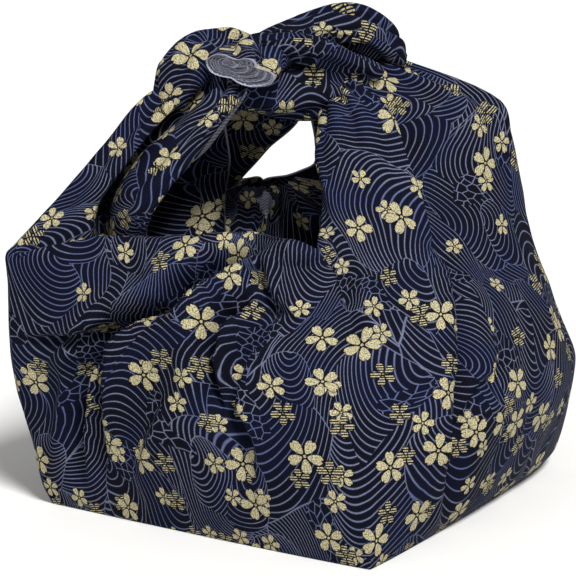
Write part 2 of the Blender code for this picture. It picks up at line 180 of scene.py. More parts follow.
# Folds pressed into the front wall. A fold runs down along (x, z, strength) points. Its crest
# stands on its line and the cloth drops beside it, within `steep`, into a valley on the left of
# the run (+1, towards +X) or the right (-1), and rises out of that to a roll. The crest leans
# over the drop.
Fold = namedtuple("Fold", "name side crest crest_width lean steep valley valley_width roll line")
FOLDS = (
    Fold("great", -1, 0.006, 0.012, 0.014, 0.005, 0.034, 0.010, 0.010,
         ((-0.030, 0.200, 0.3), (-0.045, 0.195, 0.5), (-0.056, 0.187, 0.8), (-0.068, 0.178, 0.9),
          (-0.081, 0.169, 1.0), (-0.093, 0.160, 1.0), (-0.106, 0.145, 1.0), (-0.118, 0.140, 1.0),
          (-0.131, 0.134, 0.8), (-0.139, 0.127, 0.4), (-0.143, 0.117, 0.1))),
    Fold("great_foot", -1, 0.006, 0.008, 0.010, 0.004, 0.026, 0.007, 0.004,
         ((-0.131, 0.134, 0.2), (-0.139, 0.127, 0.7), (-0.143, 0.117, 1.0), (-0.146, 0.105, 1.0),
          (-0.147, 0.091, 0.9), (-0.148, 0.075, 0.7), (-0.147, 0.045, 0.3))),
    Fold("second", -1, 0.008, 0.007, 0.010, 0.005, 0.031, 0.008, 0.007,
         ((-0.128, 0.142, 0.0), (-0.139, 0.135, 0.5), (-0.146, 0.126, 0.9), (-0.151, 0.116, 1.0),
          (-0.156, 0.105, 1.0), (-0.158, 0.092, 0.9), (-0.159, 0.077, 0.8), (-0.160, 0.061, 0.6),
          (-0.159, 0.036, 0.2))),
    Fold("outer", +1, 0.005, 0.010, 0.007, 0.005, 0.016, 0.007, 0.000,
         ((-0.146, 0.149, 0.1), (-0.152, 0.146, 0.8), (-0.159, 0.141, 1.0), (-0.167, 0.137, 0.8),
          (-0.177, 0.134, 0.7), (-0.184, 0.132, 0.5), (-0.198, 0.126, 0.3))),
    Fold("third", -1, 0.006, 0.010, 0.010, 0.005, 0.024, 0.008, 0.005,
         ((-0.054, 0.168, 0.2), (-0.070, 0.150, 0.8), (-0.076, 0.143, 1.0), (-0.080, 0.133, 1.0),
          (-0.082, 0.122, 0.9), (-0.083, 0.110, 0.7), (-0.083, 0.094, 0.2))),
    Fold("fourth", -1, 0.005, 0.010, 0.005, 0.005, 0.015, 0.009, 0.002,
         ((-0.040, 0.160, 0.3), (-0.054, 0.140, 0.8), (-0.067, 0.121, 1.0), (-0.071, 0.108, 1.0),
          (-0.070, 0.094, 0.8), (-0.065, 0.078, 0.6), (-0.065, 0.050, 0.1))),
    Fold("upper", -1, 0.003, 0.010, 0.001, 0.006, 0.007, 0.009, 0.000,
         ((-0.026, 0.204, 0.6), (-0.042, 0.202, 1.0), (-0.058, 0.198, 0.8), (-0.081, 0.192, 0.0))),
    Fold("far", -1, 0.003, 0.012, 0.001, 0.007, 0.008, 0.012, 0.002,
         ((-0.172, 0.112, 0.3), (-0.173, 0.092, 1.0), (-0.176, 0.066, 0.8), (-0.179, 0.034, 0.2))),
    Fold("middle", -1, 0.004, 0.012, 0.001, 0.007, 0.008, 0.013, 0.000,
         ((-0.112, 0.104, 0.2), (-0.120, 0.082, 1.0), (-0.126, 0.060, 0.8), (-0.127, 0.034, 0.2))),
    Fold("flap", -1, 0.005, 0.008, 0.004, 0.005, 0.011, 0.007, 0.000,
         ((-0.041, 0.184, 0.4), (-0.046, 0.178, 1.0), (-0.045, 0.172, 1.0), (-0.039, 0.164, 0.7),
          (-0.033, 0.154, 0.1))),
    Fold("tuck", +1, 0.004, 0.008, 0.004, 0.004, 0.011, 0.006, 0.000,
         ((-0.010, 0.194, 0.6), (-0.028, 0.191, 1.0), (-0.045, 0.187, 0.6))),
    Fold("lap", +1, 0.008, 0.016, 0.010, 0.005, 0.019, 0.012, 0.003,
         ((0.057, 0.215, 1.0), (0.063, 0.193, 1.0), (0.066, 0.163, 1.0), (0.063, 0.135, 1.0),
          (0.057, 0.106, 0.8), (0.054, 0.081, 0.7), (0.054, 0.061, 0.6), (0.056, 0.030, 0.3))),
    Fold("pleat", +1, 0.004, 0.010, 0.002, 0.005, 0.008, 0.010, 0.000,
         ((0.106, 0.124, 0.1), (0.097, 0.111, 0.6), (0.078, 0.100, 1.0), (0.067, 0.084, 1.0),
          (0.062, 0.065, 0.2))),
    Fold("soft", -1, 0.005, 0.014, 0.001, 0.010, 0.007, 0.014, 0.000,
         ((0.011, 0.207, 0.6), (0.013, 0.187, 1.0), (0.010, 0.167, 1.0), (0.011, 0.140, 0.4),
          (0.014, 0.110, 0.0))),
)
FRONT_FADE = 0.020              # how far in front of the sides the folds reach full depth
BASE_FADE = 0.012               # how high above the base they do
FOLD_RUN_OUT = 0.014            # how far past its ends a fold dies away
FOLD_TOP_ROWS = (3, 13)         # rows above the rim where folds end, and over which they fade
# Fine folds that fan out from a gather, on the side that it faces: front -1 or back +1.
Gather = namedtuple("Gather", "x z facing reach count depth")
GATHERS = (
    Gather(-0.015, 0.193, -1, 0.10, 15, 0.0022),
    Gather(-0.004, 0.202, +1, 0.16, 13, 0.0060),
)
# Lengthwise folds of the strands: (first share, last share, how many, depth at the knot). They
# start this many rows below the rim and are full so many rows further up.
STRAND_FOLD_ROWS = (20, 60)
STRAND_FOLDS = {
    -1: ((0.34, 0.98, 6, 0.0050), (0.03, 0.23, 3, 0.0048)),
    +1: ((0.27, 0.98, 8, 0.0052), (0.01, 0.24, 4, 0.0056)),
}
CRUMPLE = ((0.045, 0.0022), (0.018, 0.0006))    # spread and depth of the soft lumps
CRUMPLE_FADE = 0.02             # how high above the base they reach full depth


def curve_through(points, rows_between):
    """Points on a smooth curve through rows of points, with the given rows between each two."""
    points = np.asarray(points, float)
    apart = np.linalg.norm(np.diff(points[..., :3], axis=0), axis=-1)
    gaps = np.sqrt(apart.reshape(len(points) - 1, -1).mean(axis=1))
    knots = np.concatenate([[0.0], np.cumsum(gaps)])
    slopes = SWING * np.gradient(points, knots, axis=0)
    rows = []
    for i, span in enumerate(gaps):
        for t in np.arange(rows_between[i]) / rows_between[i]:
            rows.append(
                (2 * t**3 - 3 * t**2 + 1) * points[i] + (t**3 - 2 * t**2 + t) * span * slopes[i]
                + (3 * t**2 - 2 * t**3) * points[i + 1] + (t**3 - t**2) * span * slopes[i + 1]
            )
    return np.array(rows + [points[-1]])


def quarter(reach, end, blunt_side, blunt_end, z, steps):
    """A quarter of a level's outline in even steps, from its front or back round to its side."""
    share = np.cos(np.linspace(0.0, pi / 2, 400)) ** 2
    x = reach * (1.0 - share) ** (1.0 / blunt_end)
    y = end * share ** (1.0 / blunt_side)
    far = np.concatenate([[0.0], np.cumsum(np.hypot(np.diff(x), np.diff(y)))])
    at = np.linspace(0.0, far[-1], steps + 1)
    return np.stack([np.interp(at, far, x), np.interp(at, far, y), np.full(steps + 1, z)], axis=1)


def shares(side):
    """Where each column lies: 0 at the front, 0.5 at the side and 1 at the back."""
    front, back = STEPS[side]
    return np.concatenate([np.linspace(0.0, 0.5, front + 1), np.linspace(0.5, 1.0, back + 1)[1:]])


def level_row(level, side):
    """Half of a level's outline, from the front round the left (-1) or right (+1) to the back."""
    reach, blunt = (level.left, level.blunt_left) if side < 0 else (level.right, level.blunt_right)
    front = quarter(side * reach, -level.front, blunt, level.blunt_ends, level.z, STEPS[side][0])
    back = quarter(side * reach, level.back, blunt, level.blunt_ends, level.z, STEPS[side][1])
    return np.concatenate([front, back[-2::-1]])


def section_row(section, across, side):
    """A strand's section as a row with as many points as a level's half."""
    dense = curve_through(section[1:], [60] * (len(across) - 1))
    known = np.interp(np.arange(len(dense)) / 60, np.arange(len(across)), across)
    return np.stack([np.interp(shares(side), known, dense[:, k]) for k in range(3)], axis=1)


def half_wall(side, strand, across):
    """Rows of points from the base up one half of the wall and its strand to the knot."""
    rows = [level_row(level, side) for level in LEVELS]
    rows += [section_row(section, across, side) for section in strand]
    rows_between = [level.rows for level in LEVELS] + [section.rows for section in strand[:-1]]
    return curve_through(rows, rows_between)


def from_line(x, z, line):
    """How far each point lies to the left of a line's run, the fold's strength there, fading past
    the ends, and the direction to the left."""
    line = curve_through(line, [6] * (len(line) - 1))
    nearest = np.full(x.shape, 1e9)
    aside, strength, left_x, left_z = (np.zeros(x.shape) for _ in range(4))
    for k, ((ax, az, start), (bx, bz, end)) in enumerate(zip(line, line[1:])):
        length = np.hypot(bx - ax, bz - az)
        along = ((x - ax) * (bx - ax) + (z - az) * (bz - az)) / length
        left = ((bx - ax) * (z - az) - (bz - az) * (x - ax)) / length
        over = np.maximum(-along, along - length).clip(0.0)
        far = np.hypot(left, over)
        closer = far < nearest - 1e-7
        nearest = np.where(closer, far, nearest)
        past_end = over * ((along < 0) * (k == 0) + (along > 0) * (k == len(line) - 2))
        beside = np.where(past_end > 0, left, np.copysign(far, left))
        aside = np.where(closer, beside, aside)
        here = start + (end - start) * np.clip(along / length, 0.0, 1.0)
        strength = np.where(closer, here * np.exp(-(past_end / FOLD_RUN_OUT) ** 2), strength)
        left_x = np.where(closer, (az - bz) / length, left_x)
        left_z = np.where(closer, (bx - ax) / length, left_z)
    return aside, strength, left_x, left_z


def outward(grid, side):
    """Unit normals of a half of the wall, pointing out of the bag."""
    out = side * np.cross(np.gradient(grid, axis=1), np.gradient(grid, axis=0))
    return out / (np.linalg.norm(out, axis=2, keepdims=True) + 1e-12)


def press_folds(grid, side):
    """Moves a half of the cloth out, in and over along its folds."""
    out = outward(grid, side)
    x, y, z = grid[..., 0], grid[..., 1], grid[..., 2]
    rows = np.arange(len(grid))[:, None]
    share = shares(side)[None, :]
    wall = np.clip((WALL_ROWS + FOLD_TOP_ROWS[0] - rows) / FOLD_TOP_ROWS[1], 0.0, 1.0)
    free = wall * np.clip(z / BASE_FADE, 0.0, 1.0) * np.clip(-y / FRONT_FADE, 0.0, 1.0)
    moved = np.zeros(grid.shape)
    for fold in FOLDS:
        aside, strength, left_x, left_z = from_line(x, z, fold.line)
        fade = free * strength
        past = fold.side * aside
        rise = np.exp(-(np.minimum(past, 0.0) / fold.crest_width) ** 2)
        fall = np.exp(-((np.maximum(past, fold.steep) - fold.steep) / fold.valley_width) ** 2)
        drop = np.clip(past / fold.steep, 0.0, 1.0)
        drop = drop * drop * (3.0 - 2.0 * drop)
        shape = fold.crest * rise * (1.0 - drop) - fold.valley * fall * drop
        behind = (past - fold.steep - 2.0 * fold.valley_width) / fold.valley_width
        shape += fold.roll * np.exp(-behind ** 2)
        moved += out * (fade * shape)[..., None]
        over = np.stack([left_x, np.zeros(x.shape), left_z], axis=2)
        over -= out * (over * out).sum(axis=2, keepdims=True)
        near = np.exp(-(np.minimum(past, 0.0) / (0.6 * fold.crest_width)) ** 2) * (1.0 - drop)
        moved += over * (fade * fold.side * fold.lean * near)[..., None]
    for gather in GATHERS:
        far = np.hypot(x - gather.x, z - gather.z)
        bearing = np.arctan2(x - gather.x, gather.z - z + 0.02)
        swing = np.abs(np.sin(0.5 * gather.count * bearing + 0.7 * np.sin(3.0 * bearing))) - 0.55
        fade = np.clip(far / 0.03, 0.0, 1.0) * np.exp(-(far / gather.reach) ** 2)
        fade = wall * np.clip(gather.facing * y / 0.03, 0.0, 1.0) * fade
        moved += out * (fade * gather.depth * swing)[..., None]
    climb = np.clip((rows - WALL_ROWS + STRAND_FOLD_ROWS[0]) / STRAND_FOLD_ROWS[1], 0.0, 1.0)
    for first, last, count, depth in STRAND_FOLDS[side]:
        along = np.clip((share - first) / (last - first), 0.0, 1.0)
        wave = np.abs(np.sin(pi * count * along + 0.8 * np.sin(0.05 * rows))) - 0.6
        ease = np.clip(np.minimum(along, 1.0 - along) / 0.06, 0.0, 1.0)
        moved += out * (depth * climb * ease * wave)[..., None]
    for spread, depth in CRUMPLE:
        lumps = np.array([[noise.noise(Vector(p) / spread) for p in row] for row in grid])
        moved += out * (depth * np.clip(z / CRUMPLE_FADE, 0.0, 1.0) * lumps)[..., None]
    for _ in range(2):
        moved[1:-1, 1:-1] = (4.0 * moved[1:-1, 1:-1] + moved[:-2, 1:-1] + moved[2:, 1:-1]
                             + moved[1:-1, :-2] + moved[1:-1, 2:]) / 8.0
    return grid + moved


LAP_COLUMN = int(0.44 * STEPS[+1][0])   # the column under the lap, where the flat cloth is cut
FLATTEN_STEP = 3                # every third row and column is laid flat, and the rest lie between


def flatten(left, right):
    """Lays the two halves out flat again, cut only where no cut shows: along the base, up the back
    and under the lap. Returns the place on the flat cloth of each point of the left half, of the
    right half up to the lap, and of the rest."""
    rows = sorted({*range(0, len(left), FLATTEN_STEP), WALL_ROWS, len(left) - 1})
    left_columns = sorted({*range(0, sum(STEPS[-1]), FLATTEN_STEP), sum(STEPS[-1])})
    columns = sorted({*range(0, sum(STEPS[+1]), FLATTEN_STEP - 1), LAP_COLUMN, sum(STEPS[+1])})
    parts = ((left, left_columns, -1), (right, [c for c in columns if c <= LAP_COLUMN], 1),
             (right, [c for c in columns if c >= LAP_COLUMN], 1))
    mesh = bmesh.new()
    made = []
    for grid, across, side in parts:
        made.append([[mesh.verts.new(grid[i, j]) for j in across] for i in rows])
    for k, i in enumerate(rows):
        if i <= WALL_ROWS:
            made[1][k][0] = made[0][k][0]
    for points, (_, across, side) in zip(made, parts):
        for i in range(len(rows) - 1):
            for j in range(len(across) - 1):
                corners = [points[i][j], points[i + 1][j], points[i + 1][j + 1], points[i][j + 1]]
                mesh.faces.new(corners[::-side])
    bmesh.ops.delete(mesh, geom=[v for v in mesh.verts if not v.link_faces], context="VERTS")
    mesh.verts.index_update()
    numbers = [[[v.index for v in row] for row in points] for points in made]
    data = bpy.data.meshes.new("flat")
    mesh.to_mesh(data)
    mesh.free()
    sheet = bpy.data.objects.new("flat", data)
    scene.collection.objects.link(sheet)
    data.uv_layers.new(name="flat")
    bpy.context.view_layer.objects.active = sheet
    bpy.ops.object.mode_set(mode="EDIT")
    bpy.ops.mesh.select_all(action="SELECT")
    bpy.ops.uv.unwrap(method="MINIMUM_STRETCH", margin=0.02, iterations=25)
    bpy.ops.object.mode_set(mode="OBJECT")
    uv = np.empty(2 * len(data.loops))
    data.uv_layers["flat"].data.foreach_get("uv", uv)
    corner = np.empty(len(data.loops), int)
    data.loops.foreach_get("vertex_index", corner)
    place = np.empty((len(data.vertices), 2))
    place[corner] = uv.reshape(-1, 2)
    solid = np.empty(3 * len(data.vertices))
    data.vertices.foreach_get("co", solid)
    ends = np.empty(2 * len(data.edges), int)
    data.edges.foreach_get("vertices", ends)
    real = np.diff(solid.reshape(-1, 3)[ends].reshape(-1, 2, 3), axis=1)
    flat = np.diff(place[ends].reshape(-1, 2, 2), axis=1)
    place *= np.linalg.norm(real, axis=2).sum() / np.linalg.norm(flat, axis=2).sum()
    bpy.data.objects.remove(sheet)
    flats = []
    for numbered, (grid, across, _) in zip(numbers, parts):
        known = place[np.array(numbered)]
        wide = np.array([[np.interp(np.arange(across[0], across[-1] + 1), across, row[:, k])
                          for k in range(2)] for row in known])
        full = np.array([[np.interp(np.arange(len(grid)), rows, wide[:, k, j])
                          for j in range(wide.shape[2])] for k in range(2)])
        flats.append(full.transpose(2, 1, 0))
    return flats


# The cloth behind the left strand's roll: rows of points from the strand to the hem, from the
# knot down behind the front rim.
UNDER_LAYER = (
    ((-0.092, 0.018, 0.262), (-0.078, 0.016, 0.262), (-0.064, 0.022, 0.262), (-0.051, 0.024, 0.261)),
    ((-0.107, 0.026, 0.235), (-0.089, 0.027, 0.234), (-0.067, 0.030, 0.233), (-0.045, 0.032, 0.232)),
    ((-0.121, 0.030, 0.207), (-0.097, 0.034, 0.205), (-0.067, 0.042, 0.203), (-0.044, 0.052, 0.203)),
    ((-0.139, 0.020, 0.185), (-0.111, 0.020, 0.183), (-0.077, 0.026, 0.179), (-0.045, 0.048, 0.177)),
    ((-0.142, 0.011, 0.164), (-0.117, -0.002, 0.162), (-0.084, -0.006, 0.158), (-0.054, 0.011, 0.154)),
    ((-0.140, -0.030, 0.130), (-0.120, -0.050, 0.125), (-0.090, -0.060, 0.122), (-0.060, -0.052, 0.118)),
)


def under_layer():
    """The under layer as rows of points, with slight waves across it."""
    rows = curve_through(np.array(UNDER_LAYER), [8] * (len(UNDER_LAYER) - 1))
    grid = curve_through(rows.transpose(1, 0, 2), [8] * (len(UNDER_LAYER[0]) - 1)).transpose(1, 0, 2)
    run, across = np.meshgrid(np.arange(len(grid)), np.arange(len(grid[0])), indexing="ij")
    grid[..., 1] += 0.003 * np.sin(0.7 * across + 0.12 * run)
    return grid


def add_grid(mesh, lie, points, side, flat, shown):
    """Faces between rows of points, facing out on the right (+1) or left (-1) half."""
    for i in range(len(points) - 1):
        for j in range(len(points[0]) - 1):
            corners = [(i, j), (i + 1, j), (i + 1, j + 1), (i, j + 1)][::-side]
            face = mesh.faces.new([points[a][b] for a, b in corners])
            face.material_index = shown(i, j)
            for loop, (a, b) in zip(face.loops, corners):
                loop[lie].uv = flat(a, b)


def cloth_object():
    """The single sheet from the base up both strands, joined below the gathers, with its place on
    the flat cloth as a UV map in metres and its distance from the hem."""
    left = press_folds(half_wall(-1, LEFT_STRAND, LEFT_ACROSS), -1)
    right = press_folds(half_wall(+1, RIGHT_STRAND, RIGHT_ACROSS), +1)
    seam = (left[:WALL_ROWS + 1, [0, -1]] + right[:WALL_ROWS + 1, [0, -1]]) / 2
    left[:WALL_ROWS + 1, [0, -1]] = seam
    right[:WALL_ROWS + 1, [0, -1]] = seam
    flats = flatten(left, right)
    mesh = bmesh.new()
    lie = mesh.loops.layers.uv.new("cloth")
    from_hem = mesh.verts.layers.float.new("from_hem")
    left_points = [[mesh.verts.new(p) for p in row] for row in left]
    right_points = []
    for i, row in enumerate(right):
        inner = [mesh.verts.new(p) for p in row[1:-1]]
        if i <= WALL_ROWS:
            right_points.append([left_points[i][0], *inner, left_points[i][-1]])
        else:
            right_points.append([mesh.verts.new(row[0]), *inner, mesh.verts.new(row[-1])])
    for grid, points, hemmed in ((left, left_points, True), (right, right_points, False)):
        along = np.cumsum(np.linalg.norm(np.diff(grid, axis=1), axis=2), axis=1)
        for i, row in enumerate(points):
            below = max(WALL_ROWS - i, 0) * ROW_HEIGHT
            for j, point in enumerate(row):
                front = along[i, j - 1] if j else 0.0
                back = along[i, -1] - front
                point[from_hem] = float(np.hypot(min(front, back) if hemmed else back, below))
    add_grid(mesh, lie, left_points, -1, lambda a, b: flats[0][a, b], lambda i, j: shown(-1, i, j))
    near = [row[:LAP_COLUMN + 1] for row in right_points]
    add_grid(mesh, lie, near, +1, lambda a, b: flats[1][a, b], lambda i, j: shown(+1, i, j))
    rest = [row[LAP_COLUMN:] for row in right_points]
    add_grid(mesh, lie, rest, +1, lambda a, b: flats[2][a, b],
             lambda i, j: shown(+1, i, j + LAP_COLUMN))
    layers = [(pleated(corner), corner.facing, REVERSE_COLUMNS, LIP_REACH) for corner in TURNED_IN]
    layers.append((under_layer(), -1, 0, 0))
    for number, (grid, facing, reverse_columns, lip_reach) in enumerate(layers):
        points = [[mesh.verts.new(p) for p in row] for row in grid]
        across = np.cumsum(np.linalg.norm(np.diff(grid, axis=1), axis=2), axis=1)
        middle = across[:len(grid) // 2].mean(axis=0)
        down = np.cumsum(np.linalg.norm(np.diff(grid[:, len(grid[0]) // 2], axis=0), axis=1))
        for i, row in enumerate(points):
            for j, point in enumerate(row):
                front = across[i, j - 1] if j else 0.0
                point[from_hem] = float(min(front, across[i, -1] - front))
        add_grid(mesh, lie, points, facing, lambda a, b: (
            LAYER_APART * number + (middle[b - 1] if b else 0.0), down[a - 1] if a else 0.0),
            lambda i, j: REVERSE_OUT if j < reverse_columns
            or abs(i - LIP[0]) + abs(j - LIP[1]) < lip_reach else PRINT_BOTH)
    base = mesh.faces.new(left_points[0] + right_points[0][-2:0:-1])
    for loop in base.loops:
        x, y = loop.vert.co.x, loop.vert.co.y
        loop[lie].uv = (DIAGONAL * (x - y) - 1.0, DIAGONAL * (x + y))
    data = bpy.data.meshes.new("furoshiki")
    mesh.to_mesh(data)
    mesh.free()
    data.shade_smooth()
    made = bpy.data.objects.new("furoshiki", data)
    scene.collection.objects.link(made)
    return made


# The print shows on the outside. Inside it shows too where the cloth is turned in: over the
# strands and for a hand's width below the rims. The left strand's front hem shows its reverse.
# The inner face of the sheet takes the material slot after its outer face's.
PRINT_OUT, REVERSE_OUT, PRINT_BOTH = 0, 1, 2
TURN_IN_ROWS = 16               # how far below the rim the print still shows inside
FRONT_TURN_IN = 8               # and so many rows more at the front
BACK_TURN_IN = 28               # or up to half as many at the back
HEM_STEPS = 9                   # how wide the reverse shows along the left strand's hem
HEM_ROWS = 20                   # above the rim, where it starts to
ROW_HEIGHT = 0.0018             # between two rows of the wall
DIAGONAL = 0.7071               # the base lies with its corners to the front and the sides
LAYER_APART = 3.0               # between the inner layers' places on the flat cloth
REVERSE_COLUMNS = 10            # of a turned-in corner, where its reverse faces in
LIP = (6, 25)                   # row and column of the small lip of reverse in a gather
LIP_REACH = 4


def shown(side, i, j):
    """Which side of the cloth faces out at a face of the grid."""
    share = shares(side)[j]
    if side < 0 and j < HEM_STEPS and i > WALL_ROWS + HEM_ROWS:
        return REVERSE_OUT
    more = FRONT_TURN_IN if share < 0.5 else int(BACK_TURN_IN * (share - 0.5))
    return PRINT_BOTH if i > WALL_ROWS - TURN_IN_ROWS - more else PRINT_OUT


# The cloth's other two corners. Each is gathered at the middle of its rim and tucked in, and
# hangs in deep pleats down the inside of the wall with its tip on the base.
Pleats = namedtuple("Pleats", "x y z half_width depth")
Corner = namedtuple("Corner", "facing stations")
TURNED_IN = (
    Corner(-1, (
        Pleats(-0.006, 0.0900, 0.200, 0.026, 0.0015), Pleats(-0.008, 0.076, 0.194, 0.050, 0.0028),
        Pleats(-0.010, 0.054, 0.174, 0.068, 0.0050), Pleats(-0.010, 0.050, 0.146, 0.068, 0.0130),
        Pleats(-0.010, 0.074, 0.100, 0.062, 0.0150), Pleats(-0.010, 0.092, 0.050, 0.056, 0.0150),
        Pleats(-0.010, 0.088, 0.024, 0.050, 0.0125), Pleats(-0.006, 0.060, 0.018, 0.042, 0.0100),
        Pleats(0.000, 0.026, 0.014, 0.010, 0.0070))),
    Corner(+1, (
        Pleats(-0.016, -0.084, 0.186, 0.030, 0.0020), Pleats(-0.016, -0.074, 0.176, 0.046, 0.0060),
        Pleats(-0.014, -0.088, 0.150, 0.058, 0.0137), Pleats(-0.012, -0.104, 0.100, 0.062, 0.0150),
        Pleats(-0.012, -0.108, 0.048, 0.056, 0.0150), Pleats(-0.012, -0.100, 0.024, 0.050, 0.0125),
        Pleats(-0.008, -0.066, 0.018, 0.042, 0.0100), Pleats(0.000, -0.028, 0.014, 0.010, 0.0070))),
)
PLEAT_COUNT = 10
PLEAT_ACROSS = 56               # faces across a corner
PLEAT_DOWN = 6                  # rows of faces between two of its stations


def pleated(corner):
    """A hanging corner as rows of points, pleated across its width."""
    rows = curve_through(np.array(corner.stations), [PLEAT_DOWN] * (len(corner.stations) - 1))
    centre, half_width, depth = rows[:, :3], rows[:, 3], rows[:, 4]
    ahead = np.gradient(centre, axis=0)
    ahead /= np.linalg.norm(ahead, axis=1, keepdims=True)
    out = np.cross(ahead, (1.0, 0.0, 0.0))
    t = np.linspace(-1.0, 1.0, PLEAT_ACROSS + 1)
    grid = []
    for i in range(len(rows)):
        phase = pi * PLEAT_COUNT * (t + 0.05 * np.sin(4.0 * t + 0.12 * i))
        swing = np.arcsin(0.96 * np.sin(phase)) * (0.62 + 0.2 * np.sin(7.0 * t + 1.0))
        row = centre[i] + np.outer(t * half_width[i] + 0.004 * np.sin(5 * t + 0.3 * i), (1.0, 0.0, 0.0))
        grid.append(row + np.outer(depth[i] * swing - 0.006 * t**2, corner.facing * out[i]))
    return np.array(grid)


# The print, on twill cotton dyed navy: waves left as pale blue lines, then blossoms stamped over
# them in gold. The dyed thread is matt and shows slanting ribs, and only the gold glints.
# Sizes are in metres on the flat cloth.
WAVE_PITCH = (0.0028, 0.0046)   # line to line
WAVE_SQUEEZE = 0.66             # the waves are one and a half times as long as they are wide
WAVE_LINE = 0.00049             # a line's width
SWELLS = (
    # spacing, reach, share, seed
    (0.062, 0.056, 1.00, 0.0),
    (0.086, 0.045, 0.85, 2.3),
    (0.064, 0.032, 0.75, 5.9),
    (0.046, 0.020, 0.40, 9.4),
)
FOAM_CELL = 0.0058              # a bubble's width
STRIPE_PITCH = 0.0017           # of the striped blossoms
TWILL_PITCH = 0.0015            # real ribs are 0.5 mm apart, too fine to show, so drawn coarser
BLOSSOMS = (
    # spacing, radius from and to, share of cells that hold one, striped, seed
    (0.0290, 0.0066, 0.0084, 0.42, False, 31.7),
    (0.0330, 0.0072, 0.0090, 0.46, True, 12.3),
    (0.0430, 0.0100, 0.0128, 0.50, False, 4.1),
)


def add(material, kind, inputs=(), operation=None, **settings):
    """Adds a node. Each input is a value, an output, or a node, whose first output it takes."""
    tree = material.node_tree
    made = tree.nodes.new("ShaderNode" + kind)
    if operation:
        made.operation = operation
    for name, value in settings.items():
        setattr(made, name, value)
    for where, value in inputs.items() if isinstance(inputs, dict) else enumerate(inputs):
        if isinstance(value, bpy.types.Node):
            value = value.outputs[0]
        if isinstance(value, bpy.types.NodeSocket):
            tree.links.new(value, made.inputs[where])
        else:
            made.inputs[where].default_value = value
    return made


def blossom(cloth, place, spacing, small, large, share, striped, seed):
    """Scattered five-petalled blossoms. Returns where a petal is and where its dark outline is."""
    shifted = add(cloth, "VectorMath", (place, (seed, 0.7 * seed, 0.0)), "ADD")
    cell = add(cloth, "TexVoronoi", {"Vector": shifted, "Scale": 1.0 / spacing,
               "Randomness": 0.55}, voronoi_dimensions="2D")
    out = add(cloth, "VectorMath", (shifted, cell.outputs["Position"]), "SUBTRACT")
    luck = add(cloth, "SeparateColor", (cell.outputs["Color"],))
    turn = add(cloth, "Math", (luck.outputs[0], 2 * pi), "MULTIPLY")
    size = add(cloth, "MapRange", {"Value": luck.outputs[1], "To Min": small, "To Max": large})
    unit = add(cloth, "Math", (1.0, size), "DIVIDE")
    local = add(cloth, "VectorMath", {0: out, "Scale": unit}, "SCALE")
    xy = add(cloth, "SeparateXYZ", (local,))
    radius = add(cloth, "VectorMath", (local,), "LENGTH").outputs["Value"]
    bearing = add(cloth, "Math", (xy.outputs[1], xy.outputs[0]), "ARCTAN2")
    turned = add(cloth, "Math", (bearing, turn), "ADD")
    off_axis = add(cloth, "Math", (turned, pi / 5), "PINGPONG")
    along = add(cloth, "Math", (radius, add(cloth, "Math", (off_axis,), "COSINE")), "MULTIPLY")
    across = add(cloth, "Math", (radius, add(cloth, "Math", (off_axis,), "SINE")), "MULTIPLY")
    # A petal is an egg, broad end out: 0.41 of the radius long and 0.16 to 0.31 wide each way.
    breadth = add(cloth, "MapRange", {"Value": along, "From Min": 0.15, "From Max": 0.8,
                  "To Min": 0.16, "To Max": 0.31})
    wide = add(cloth, "Math", (across, breadth), "DIVIDE")
    long = add(cloth, "MapRange", {"Value": along, "From Min": 0.57, "From Max": 0.98,
               "To Max": 1.0}, clamp=False)
    egg = add(cloth, "CombineXYZ", (long, wide))
    rim = add(cloth, "VectorMath", (egg,), "LENGTH").outputs["Value"]
    # The notch in a petal's tip.
    tip = add(cloth, "MapRange", {"Value": along, "From Min": 0.80, "From Max": 0.98,
              "To Min": -0.02, "To Max": 0.10}, clamp=False)
    notch = add(cloth, "Math", (tip, across), "SUBTRACT")
    cut = add(cloth, "Math", {0: notch, 1: 9.0, 2: rim}, "MULTIPLY_ADD")
    shape = add(cloth, "Math", (rim, cut), "MAXIMUM")
    here = add(cloth, "Math", (luck.outputs[2], share), "LESS_THAN")
    petal = add(cloth, "MapRange", {"Value": shape, "From Min": 1.04, "From Max": 0.96})
    heart = add(cloth, "MapRange", {"Value": radius, "From Min": 0.10, "From Max": 0.06})
    gold = add(cloth, "Math", (petal, heart), "MAXIMUM")
    gap = add(cloth, "MapRange", {"Value": shape, "From Min": 1.22, "From Max": 1.12})
    eye = add(cloth, "MapRange", {"Value": radius, "From Min": 0.34, "From Max": 0.26})
    halo = add(cloth, "Math", (gap, eye), "MAXIMUM")
    gold = add(cloth, "Math", (gold, here), "MULTIPLY")
    halo = add(cloth, "Math", (halo, here), "MULTIPLY")
    if striped:
        up = add(cloth, "SeparateXYZ", (place,)).outputs[0]
        stripe = add(cloth, "Math", (up, STRIPE_PITCH), "DIVIDE")
        stripe = add(cloth, "Math", (stripe, 0.5), "PINGPONG")
        stripe = add(cloth, "MapRange", {"Value": stripe, "From Min": 0.22, "From Max": 0.30})
        gold = add(cloth, "Math", (gold, stripe), "MULTIPLY")
    return gold, halo


